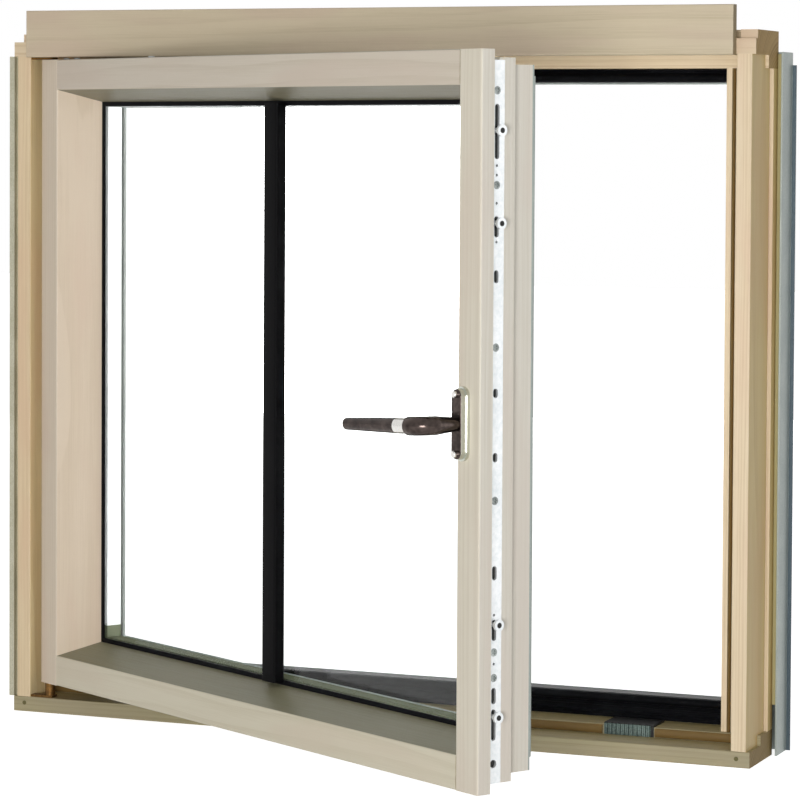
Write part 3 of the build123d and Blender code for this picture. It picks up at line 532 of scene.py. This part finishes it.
ZINC = Metal("zinc_strip", shown(242, 244, 245), shown(222, 228, 230), 0.55, 0.40, 0.12, 260.0)
PALE_ZINC = Metal("zinc_comb", shown(120, 136, 132), shown(70, 84, 80), 0.8, 0.38, 0.16, 700.0)
SCREW_ZINC = Metal("screw_zinc", shown(176, 182, 180), shown(120, 126, 124), 0.9, 0.30, 0.10, 900.0)
DARK_STEEL = Metal("dark_steel", (0.010, 0.010, 0.010), (0.004, 0.004, 0.004), 0.2, 0.6, 0.1, 300.0)
BRONZE = Metal("bronze_bracket", shown(120, 86, 40), shown(70, 48, 22), 0.8, 0.42, 0.15, 500.0)
ALUMINIUM = Metal("coated_aluminium", shown(166, 174, 168), shown(148, 157, 154), 0.35, 0.40, 0.06, 700.0)
STRIP_METAL = Metal("hinge_strip_metal", shown(196, 192, 172), shown(170, 166, 142), 0.35, 0.42, 0.08, 700.0)
NICKEL = Metal("dark_nickel", shown(84, 74, 70), shown(44, 38, 36), 1.0, 0.20, 0.10, 160.0)
SILVER = Metal("bright_nickel", shown(236, 234, 230), shown(206, 204, 200), 1.0, 0.20, 0.06, 500.0, True)
SPACER = Metal("spacer_light", shown(246, 248, 248), shown(236, 239, 239), 0.0, 0.45, 0.1, 300.0, gloss=0.0)
STUD = shown(214, 216, 214)
COVER_EDGE = shown(62, 76, 84)
ROSE_SILVER = shown(196, 198, 188)
# Painted shade for the foot of the glass spacer
SPACER_PAINTED_SHADE = shown(100, 106, 86)

RUBBER = Rubber("weather_rubber")
BAR_PAINT = Rubber("glazing_bar_paint", (0.0020, 0.0020, 0.0024), (0.005, 0.005, 0.006), 0.45, 0.05)
BROWN_SEAL = Rubber("brown_seal", shown(112, 88, 46), shown(136, 112, 66), 0.55, 0.3)
PACKING = Rubber("packing_strip", shown(176, 166, 122), shown(146, 134, 92), 0.7, 0.2)
DOWEL = Rubber("dowel_wood", shown(104, 98, 62), shown(80, 72, 42), 0.6, 0.3)
GLASS = ClearGlass()


def dress(material: bpy.types.Material, *nodes: str) -> None:
    """Gives CAD nodes a material in every slot.

    Args:
        material: their finish.
        nodes: names of the nodes.
    """
    for node in nodes:
        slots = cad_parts[node].data.materials
        if not slots:
            slots.append(material)
        for index in range(len(slots)):
            slots[index] = material
        log.info("dressed %s in %s", node, material.name)


def add_piece(name: str, lay: Lay, shape: Shape, material: bpy.types.Material) -> None:
    """Makes one finished piece with its place in its mesh, doubles merged and faces outwards.

    Args:
        name: the piece's name.
        lay: where it lies.
        shape: its points in (u, v, z), and its faces.
        material: its finish.
    """
    points, faces = shape
    data = bpy.data.meshes.new(name)
    data.from_pydata(lay.points(points).tolist(), [], faces)
    shell = bmesh.new()
    shell.from_mesh(data)
    bmesh.ops.remove_doubles(shell, verts=shell.verts, dist=1e-6)
    bmesh.ops.recalc_face_normals(shell, faces=shell.faces)
    shell.to_mesh(data)
    shell.free()
    data.shade_smooth()
    data.set_sharp_from_angle(angle=SHARP_ANGLE)
    data.materials.append(material)
    made = bpy.data.objects.new(name, data)
    bpy.context.scene.collection.objects.link(made)
    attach(made, "root")
    log.info("built %s with %d faces", name, len(data.polygons))


def carried(ring: np.ndarray, start: Triple, end: Triple) -> Shape:
    """Closed outline carried along a straight path.

    Point = ring point + start + f * (end - start), for f = 0 and 1, with both ends closed.

    Args:
        ring: (n, 3) points of the outline, in (u, v, z).
        start: where the path starts.
        end: where it ends.

    Returns:
        Points in (u, v, z) and faces.
    """
    count = len(ring)
    path = np.array([start, end])
    points = (path[:, None, :] + ring[None, :, :]).reshape(-1, 3)
    here = np.arange(count)
    after = (here + 1) % count
    sides = np.stack([here, after, after + count, here + count], axis=1)
    return points, [*sides.tolist(), here[::-1].tolist(), (here + count).tolist()]


def turned(radii: np.ndarray, heights: np.ndarray, segments: int) -> Shape:
    """Outline turned about its axis.

    Point = (r * cos a, r * sin a, h), with the angle a going once round; r is 0 at both ends, so the
    shell is closed once its doubles are merged.

    Args:
        radii: distance from the axis at each step of the outline.
        heights: height above the seat at each step.
        segments: steps round the axis.

    Returns:
        Points with the axis along the third coordinate, and faces.
    """
    angle = np.linspace(0.0, 2 * np.pi, segments, endpoint=False)
    a, r = np.meshgrid(angle, radii)
    h = np.broadcast_to(heights[:, None], r.shape)
    points = np.stack([r * np.cos(a), r * np.sin(a), h], axis=-1)
    rows, columns = np.meshgrid(np.arange(len(radii) - 1) * segments, np.arange(segments), indexing="ij")
    after = (columns + 1) % segments
    above = rows + segments
    quads = np.stack([rows + columns, rows + after, above + after, above + columns], axis=-1)
    return points.reshape(-1, 3), quads.reshape(-1, 4).tolist()


def rounded(width: float, height: float, radius: float, steps: int = 6) -> np.ndarray:
    """Rectangle with round corners, centred: corner centre + radius * (cos a, sin a) in each quarter.

    Args:
        width: its first size.
        height: its second size.
        radius: radius of its corners.
        steps: points on each corner.

    Returns:
        (4 * steps, 2) points.
    """
    quarter = np.linspace(0.0, np.pi / 2, steps)
    starts = np.arange(4) * np.pi / 2
    angle = (starts[:, None] + quarter[None, :]).ravel()
    signs = np.array([(1, 1), (-1, 1), (-1, -1), (1, -1)])
    centres = np.repeat(signs * (width / 2 - radius, height / 2 - radius), steps, axis=0)
    return centres + radius * np.stack([np.cos(angle), np.sin(angle)], axis=1)


def bulb(width: float, reach: float, steps: int = 14) -> np.ndarray:
    """Half ellipse on a flat back: (width / 2 * cos a, -reach * sin a) for a from 0 to half a turn."""
    angle = np.linspace(0.0, np.pi, steps)
    return np.stack([width / 2 * np.cos(angle), -reach * np.sin(angle)], axis=1)


def repeated(shape: Shape, places: np.ndarray) -> Shape:
    """The same shape moved to each place.

    Args:
        shape: points and faces of one.
        places: (n, 3) offsets.

    Returns:
        Points and faces of all of them.
    """
    points, faces = shape
    everything = (places[:, None, :] + points[None, :, :]).reshape(-1, 3)
    starts = range(0, len(points) * len(places), len(points))
    return everything, [[corner + start for corner in face] for start in starts for face in faces]


@dataclass(frozen=True)
class Member:
    """One piece of timber: its finish, how it lies, where its pith is, and its tint."""

    finish: Timber
    grain: Grain
    pith: Tuple[float, float]
    tint: Colour

    def dress(self, node: str) -> None:
        """Dresses the CAD node of this name."""
        dress(self.finish.material(node, self.grain, self.pith, self.tint), node)


@dataclass
class TimberFrame:
    """Sill, head, jambs and cover board, with the dowel plugs on the sill."""

    members: Dict[str, Member] = field(default_factory=lambda: {
        # The sill's tint is its own tone, darkened further by painted shade at the foot of the frame
        "frame_sill": Member(SILL_PINE, Grain.SILL, (0.09, 0.05), (0.88, 0.85, 0.78)),
        "frame_head": Member(GOLD_HEAD_PAINTED_SHADE, Grain.SILL, (-0.60, 0.06), (0.95, 0.93, 0.90)),
        "frame_left_jamb": Member(GOLD_HINGE_PAINTED_LIGHT, Grain.JAMB, (0.30, 0.09), (0.98, 0.94, 0.86)),
        "frame_right_jamb": Member(GOLD_PINE, Grain.JAMB, (-0.46, 0.07), (1.0, 0.98, 0.95)),
        "head_cover_board": Member(BOARD_PINE, Grain.SILL, (-0.75, 0.12), WHITE),
    })
    dowels: Tuple[Tuple[float, float], ...] = ((0.012, 0.009), (0.767, 0.0085))
    dowel_radius: float = 0.0022
    dowel_outline: Tuple[float, ...] = (0.0, 0.8, 0.98, 1.0, 0.0)
    dowel_heights: Tuple[float, ...] = (0.0003, 0.00026, 0.00015, -0.002, -0.002)
    dowel_segments: int = 28

    def build(self) -> None:
        """Dresses the timber and sets the plugs into the sill's front, at depth 0."""
        for node, member in self.members.items():
            member.dress(node)
        radii = np.array(self.dowel_outline) * self.dowel_radius
        points, faces = turned(radii, np.array(self.dowel_heights), self.dowel_segments)
        for number, (u, z) in enumerate(self.dowels):
            local = np.stack([points[:, 0] + u, -points[:, 2], points[:, 1] + z], axis=1)
            name = f"sill_dowel_{number + 1}"
            add_piece(name, FRAME_LAY, (local, faces), DOWEL.material())


@dataclass
class TimberSash:
    """Stiles and rails of the sash."""

    members: Dict[str, Member] = field(default_factory=lambda: {
        "sash_left_stile": Member(WHITE_HINGE_PAINTED_LIGHT, Grain.STILE, (0.62, 0.10), (0.97, 0.90, 0.84)),
        "sash_right_stile": Member(WHITE_PINE, Grain.STILE, (-0.20, 0.46), (0.97, 0.97, 0.94)),
        "sash_top_rail": Member(WHITE_RAIL_PAINTED_SHADE, Grain.RAIL, (-0.58, 0.10), (0.88, 0.85, 0.82)),
        "sash_bottom_rail": Member(WHITE_RAIL_PAINTED_SHADE, Grain.RAIL, (0.02, 0.10), (0.92, 0.92, 0.84)),
    })

    def build(self) -> None:
        """Dresses the four members."""
        for node, member in self.members.items():
            member.dress(node)


@dataclass
class GlassUnit:
    """Panes, spacer and gasket, with the upright bar on the room side."""

    bar_middle: float = 0.3547
    bar_width: float = 0.0215
    bar_front: float = 0.0356
    bar_back: float = 0.0476
    bar_ends: Tuple[float, float] = (0.0757, 0.6220)
    bar_round: float = 0.0022
    painted_shade_top: float = 0.0900

    def build(self) -> None:
        """Dresses the glass unit and adds the bar: a round-cornered outline carried straight up."""
        panes = ("inner_pane", "outer_pane")
        dress(GLASS.material(), *panes)
        for pane in panes:
            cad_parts[pane].visible_shadow = False
        # Painted shade: the spacer is darker below 0.09 m, along the foot of the unit
        shade = Part((0.0, 0.0, -1.0), -self.painted_shade_top, SPACER_PAINTED_SHADE)
        dress(SPACER.material(shade), "pane_spacer")
        dress(RUBBER.material(), "glazing_gasket")
        flat = rounded(self.bar_width, self.bar_back - self.bar_front, self.bar_round)
        ring = np.column_stack([flat, np.zeros(len(flat))])
        foot, top = ((self.bar_middle, (self.bar_front + self.bar_back) / 2, z) for z in self.bar_ends)
        add_piece("glazing_bar", SASH_LAY, carried(ring, foot, top), BAR_PAINT.material())


@dataclass
class LockSide:
    """Faceplate, rod and cams on the free edge of the sash, with screw heads and cam sockets."""

    plate_u: float = 0.7111
    plate_v: float = 0.0225
    sash_bottom: float = 0.031
    seat_depth: float = 0.001
    screw_heights: Tuple[float, ...] = (0.600, 0.5195, 0.381, 0.250, 0.120, 0.098)
    head_radius: float = 0.0036
    head_rise: float = 0.0014
    head_steps: int = 16
    head_segments: int = 48
    recess_depth: float = 0.0009
    recess_half: float = 0.00055
    recess_reach: float = 0.0021
    recess_side: float = 0.0002
    recess_end: float = 0.0003
    cam_heights: Tuple[float, ...] = (0.566, 0.487, 0.144, 0.0646)
    cam_reach: float = 0.0075
    socket_radius: float = 0.0024
    socket_outline: Tuple[float, ...] = (0.0, 0.85, 1.0, 1.0, 0.0)
    socket_heights: Tuple[float, ...] = (0.00025, 0.00022, 0.0001, -0.001, -0.001)
    socket_segments: int = 24

    def _on_edge(self, shape: Shape, heights: Sequence[float], out: float) -> Shape:
        """Puts a turned shape on the faceplate at each height, its axis along the sash.

        Args:
            shape: points and faces, with the axis along the third coordinate.
            heights: heights above the sash's bottom.
            out: distance of its seat from the faceplate.

        Returns:
            Points in (u, v, z) and faces.
        """
        points, faces = shape
        local = points[:, [2, 0, 1]] + (self.plate_u + out, self.plate_v, self.sash_bottom)
        places = np.column_stack([np.zeros((len(heights), 2)), heights])
        return repeated((local, faces), places)

    def screw_shape(self) -> Shape:
        """Domed head with a cross recess.

        Height = rise * (1 - (r / R) squared), less a recess wherever one of the two cross coordinates
        is small and the other isn't large.

        Returns:
            Points and faces.
        """
        top = np.linspace(0.0, self.head_radius, self.head_steps)
        dome = self.head_rise * (1 - (top / self.head_radius) ** 2)
        radii = np.concatenate([top, [self.head_radius, 0.0]])
        heights = np.concatenate([dome, [-self.seat_depth, -self.seat_depth]])
        points, faces = turned(radii, heights, self.head_segments)
        across = np.abs(points[:, :2])
        arm = np.clip((self.recess_half - across.min(axis=1)) / self.recess_side, 0.0, 1.0)
        inner = np.clip((self.recess_reach - across.max(axis=1)) / self.recess_end, 0.0, 1.0)
        points[:, 2] -= self.recess_depth * arm * inner * (points[:, 2] > 0)
        return points, faces

    def build(self) -> None:
        """Dresses the lock and adds the heads and the sockets."""
        dark = DARK_STEEL.material()
        dress(ZINC.material(), "lock_faceplate", "bottom_lock_plate", "locking_cams", "jamb_keepers")
        dress(dark, "drive_rod")
        heads = self._on_edge(self.screw_shape(), self.screw_heights, 0.0)
        add_piece("faceplate_screws", SASH_LAY, heads, SCREW_ZINC.material())
        radii = np.array(self.socket_outline) * self.socket_radius
        socket = turned(radii, np.array(self.socket_heights), self.socket_segments)
        sockets = self._on_edge(socket, self.cam_heights, self.cam_reach)
        add_piece("cam_sockets", SASH_LAY, sockets, dark)


@dataclass
class PivotsAndStay:
    """Brackets that the sash turns on, and the stay arm on its top edge."""

    stay_top: float = 0.6622

    def build(self) -> None:
        """Dresses the brackets in bronze and the arm in black with bright studs."""
        dress(BRONZE.material(), "upper_pivot_bracket", "lower_pivot_bracket")
        dress(DARK_STEEL.material(Part((0.0, 0.0, 1.0), self.stay_top, STUD)), "stay_arm")


@dataclass
class Handle:
    """Lever handle: dark nickel with a bright collar and a silver base under the rose."""

    base_depth: float = -0.0078

    def build(self) -> None:
        """Dresses the five pieces of the handle."""
        base = Part((*SASH_LAY.through, 0.0), SASH_LAY.depth(self.base_depth), ROSE_SILVER)
        dress(NICKEL.material(base), "handle_rose")
        dress(NICKEL.material(), "handle_neck", "handle_grip")
        dress(SILVER.material(), "rose_screws", "handle_collar")


@dataclass
class WeatherSeals:
    """Black weather profiles with their ribs, brown seals and the packing strips beside the jambs."""

    width: float = 0.780
    stop: float = 0.041
    rib_width: float = 0.0030
    rib_reach: float = 0.0014
    rib_depth: float = 0.078
    sill_ribs: Tuple[float, ...] = (0.0375, 0.0305)
    head_ribs: Tuple[float, ...] = (0.6555, 0.6515)
    seal_low: float = 0.0157
    seal_high: float = 0.0245
    seal_reach: float = 0.0028
    seal_depth: float = 0.038
    jamb_width: float = 0.0187
    keeper_gap: Tuple[float, float] = (0.6225, 0.6755)
    groove_in: float = 0.0335
    groove_depth: float = 0.0482
    groove_heights: Tuple[float, float] = (0.0252, 0.6568)
    lip_width: float = 0.0038
    lip_reach: float = 0.0055
    packing_out: float = 0.0023
    packing_depth: float = 0.0760
    packing_heights: Tuple[float, float] = (0.0490, 0.6710)
    packing_size: Tuple[float, float] = (0.0042, 0.0038)
    packing_round: float = 0.0014

    def _level(self, name: str, flat: np.ndarray, span: Tuple[float, float], place: Tuple[float, float],
               material: bpy.types.Material) -> None:
        """Carries an outline along the frame's width.

        Args:
            name: the piece's name.
            flat: (n, 2) outline, in (z, v).
            span: where it starts and ends, as u.
            place: its depth v and its height z.
            material: its finish.
        """
        ring = np.column_stack([np.zeros(len(flat)), flat[:, ::-1]])
        start, end = ((u, *place) for u in span)
        add_piece(name, FRAME_LAY, carried(ring, start, end), material)

    def _upright(self, name: str, flat: np.ndarray, place: Tuple[float, float], heights: Tuple[float, float],
                 finish: Rubber) -> None:
        """Carries an outline straight up.

        Args:
            name: the piece's name.
            flat: (n, 2) outline, in (u, v).
            place: u and v.
            heights: where it starts and ends, as z.
            finish: what it is made of.
        """
        ring = np.column_stack([flat, np.zeros(len(flat))])
        start, end = ((*place, z) for z in heights)
        add_piece(name, FRAME_LAY, carried(ring, start, end), finish.material())

    def build(self) -> None:
        """Dresses the profiles and adds ribs, seals and strips."""
        rubber = RUBBER.material()
        dress(rubber, *(f"{side}_weather_profile" for side in ("sill", "head", "left", "right")))
        rib = bulb(self.rib_width, self.rib_reach)
        span = (self.stop, self.width - self.stop)
        for place, heights in (("sill", self.sill_ribs), ("head", self.head_ribs)):
            for number, z in enumerate(heights):
                self._level(f"{place}_profile_rib_{number + 1}", rib, span, (self.rib_depth, z), rubber)
        brown = BROWN_SEAL.material()
        seal = bulb(self.seal_high - self.seal_low, self.seal_reach)
        place = (self.seal_depth, (self.seal_low + self.seal_high) / 2)
        spans = ((self.jamb_width, self.keeper_gap[0]), (self.keeper_gap[1], self.width - self.jamb_width))
        for name, span in zip(("sill_seal_long", "sill_seal_short"), spans):
            self._level(name, seal, span, place, brown)
        lip = bulb(self.lip_width, self.lip_reach)
        pad = rounded(*self.packing_size, self.packing_round)
        for side, face, inwards in (("left", 0.0, 1.0), ("right", self.width, -1.0)):
            groove = (face + inwards * self.groove_in, self.groove_depth)
            self._upright(f"{side}_jamb_seal", lip, groove, self.groove_heights, BROWN_SEAL)
            beside = (face - inwards * self.packing_out, self.packing_depth)
            self._upright(f"{side}_packing_strip", pad, beside, self.packing_heights, PACKING)


@dataclass
class SillKeeper:
    """Keeper let into the sill, with a ribbed comb on its front."""

    low: float = 0.6245
    high: float = 0.6712
    front: float = 0.0371
    back: float = 0.0384
    bottom: float = 0.0157
    top: float = 0.0262
    ribs: int = 11
    rib_steps: int = 12
    rib_half: float = 0.0006

    def build(self) -> None:
        """Dresses the keeper and adds the comb.

        Its front is a wave: depth = front + half a rib * (1 - cos(2 pi * ribs * f)), f running along it.
        """
        dress(DARK_STEEL.material(), "sill_keeper")
        f = np.linspace(0.0, 1.0, self.ribs * self.rib_steps + 1)
        wave = self.front + self.rib_half * (1 - np.cos(2 * np.pi * self.ribs * f))
        face = np.column_stack([self.low + (self.high - self.low) * f, wave, np.zeros_like(f)])
        rear = np.array([(self.high, self.back, 0.0), (self.low, self.back, 0.0)])
        comb = carried(np.concatenate([face, rear]), (0.0, 0.0, self.bottom), (0.0, 0.0, self.top))
        add_piece("keeper_comb", FRAME_LAY, comb, PALE_ZINC.material())


@dataclass
class Cladding:
    """Outside metal: frame cladding with its dark edge, sash covers and the strip on the hinge side."""

    edge_start: float = 0.3963

    def build(self) -> None:
        """Dresses every sheet."""
        covers = (f"sash_{side}_cover" for side in ("left", "right", "top", "bottom"))
        dress(ALUMINIUM.material(), "sill_cladding", "head_cladding", *covers)
        dress(STRIP_METAL.material(), "hinge_side_strip")
        edge = Part((1.0, 0.0, 0.0), self.edge_start, COVER_EDGE, True)
        dress(ALUMINIUM.material(edge), "left_cladding", "right_cladding")


@dataclass(frozen=True)
class Lamp:
    """One soft rectangular lamp: where it stands, the point that it faces, its size and its watts."""

    name: str
    place: Triple
    aim: Triple
    size: Tuple[float, float]
    power: float

    def build(self) -> None:
        """Makes the lamp."""
        data = bpy.data.lights.new(self.name, "AREA")
        data.shape = "RECTANGLE"
        data.size, data.size_y = self.size
        data.energy = self.power
        made = bpy.data.objects.new(self.name, data)
        made.location = self.place
        made.rotation_mode = "QUATERNION"
        made.rotation_quaternion = (Vector(self.aim) - Vector(self.place)).to_track_quat("-Z", "Y")
        bpy.context.scene.collection.objects.link(made)


@dataclass
class Studio:
    """Camera, lamps, floor and white backdrop; focal and centre are in pixels of a square picture."""

    place: Triple = (1.235982, -3.020423, 0.596420)
    yaw: float = 21.9517
    pitch: float = 2.1934
    roll: float = 0.3072
    focal: float = 3308.85
    centre: Tuple[float, float] = (400.2, 257.24)
    side: float = 800.0
    sensor: float = 36.0
    far: float = 60.0
    lamps: Tuple[Lamp, ...] = (
        Lamp("key", (0.85, -3.5, 0.36), (0.0, -0.1, 0.34), (1.3, 0.9), 70.0),
        Lamp("side_strip", (2.2, 0.15, 0.4), (0.2, -0.1, 0.4), (0.3, 1.3), 2.6),
        Lamp("back", (-1.0, 3.5, 0.32), (0.0, 0.0, 0.32), (1.4, 0.9), 22.0),
    )
    fill: float = 0.28
    white: float = 1.0
    behind_glass: float = 1.12
    floor_glow: float = 0.86
    floor_half: float = 9.0

    def camera(self) -> None:
        """Camera at the photo's angle: yaw and pitch give its direction, roll turns it about that."""
        data = bpy.data.cameras.new("photo_camera")
        data.lens = self.focal * self.sensor / self.side
        data.sensor_width = self.sensor
        data.shift_x = (self.side / 2 - self.centre[0]) / self.side
        data.shift_y = (self.centre[1] - self.side / 2) / self.side
        data.clip_end = self.far
        yaw, pitch, roll = (math.radians(a) for a in (self.yaw, self.pitch, self.roll))
        level = math.cos(pitch)
        ahead = Vector((-math.sin(yaw) * level, math.cos(yaw) * level, -math.sin(pitch)))
        upright = ahead.to_track_quat("-Z", "Y").to_matrix().to_4x4()
        made = bpy.data.objects.new("photo_camera", data)
        made.location = self.place
        made.rotation_mode = "QUATERNION"
        made.rotation_quaternion = (upright @ Matrix.Rotation(roll, 4, "Z")).to_quaternion()
        bpy.context.scene.collection.objects.link(made)
        bpy.context.scene.camera = made

    def floor(self) -> None:
        """Pale floor that keeps the object's shadow and is white to the camera, glass and metal."""
        signs = ((-1, -1), (1, -1), (1, 1), (-1, 1))
        corners = [(x * self.floor_half, y * self.floor_half, 0.0) for x, y in signs]
        data = bpy.data.meshes.new("studio_floor")
        data.from_pydata(corners, [], [(0, 1, 2, 3)])
        g = Graph.named("studio_floor")
        path = g.node("ShaderNodeLightPath")
        direct = g.maths("MAXIMUM", path.outputs["Is Camera Ray"], path.outputs["Is Glossy Ray"])
        through = Wire(g, path.outputs["Is Transmission Ray"])
        glow = g.maths("MAXIMUM", direct * self.floor_glow, through * (self.floor_glow * self.behind_glass))
        data.materials.append(g.principled(
            Base_Color=(0.9, 0.9, 0.9), Roughness=0.9, Specular_IOR_Level=0.1,
            Emission_Color=WHITE, Emission_Strength=glow,
        ))
        made = bpy.data.objects.new("studio_floor", data)
        bpy.context.scene.collection.objects.link(made)

    def world(self) -> None:
        """White to the camera, through glass and in metal; a soft grey fill for everything else."""
        scene = bpy.context.scene
        scene.world = scene.world or bpy.data.worlds.new("studio")
        g = Graph(scene.world, "ShaderNodeOutputWorld")
        path = g.node("ShaderNodeLightPath")
        light = g.node("ShaderNodeBackground", None, Color=WHITE, Strength=self.fill).outputs[0]
        strengths = {
            "Is Glossy Ray": self.white,
            "Is Camera Ray": self.white,
            "Is Transmission Ray": self.behind_glass,
        }
        for ray, strength in strengths.items():
            lit = g.node("ShaderNodeBackground", None, Color=WHITE, Strength=strength).outputs[0]
            mixed = g.node("ShaderNodeMixShader", None, at_0=path.outputs[ray], at_1=light, at_2=lit)
            light = mixed.outputs[0]
        g.feed(g.output.inputs["Surface"], light)

    def build(self) -> None:
        """Sets up the whole studio."""
        bpy.context.scene.view_settings.view_transform = "Standard"
        self.camera()
        for lamp in self.lamps:
            lamp.build()
        self.floor()
        self.world()


def main() -> None:
    """Builds every sub-assembly and the studio."""
    logging.basicConfig(level=logging.INFO, format="%(message)s")
    assemblies = (
        TimberFrame, TimberSash, GlassUnit, LockSide, PivotsAndStay, Handle, WeatherSeals, SillKeeper,
        Cladding, Studio,
    )
    for assembly in assemblies:
        assembly().build()
        log.info("finished %s", assembly.__name__)


if __name__ == "__main__":
    main()
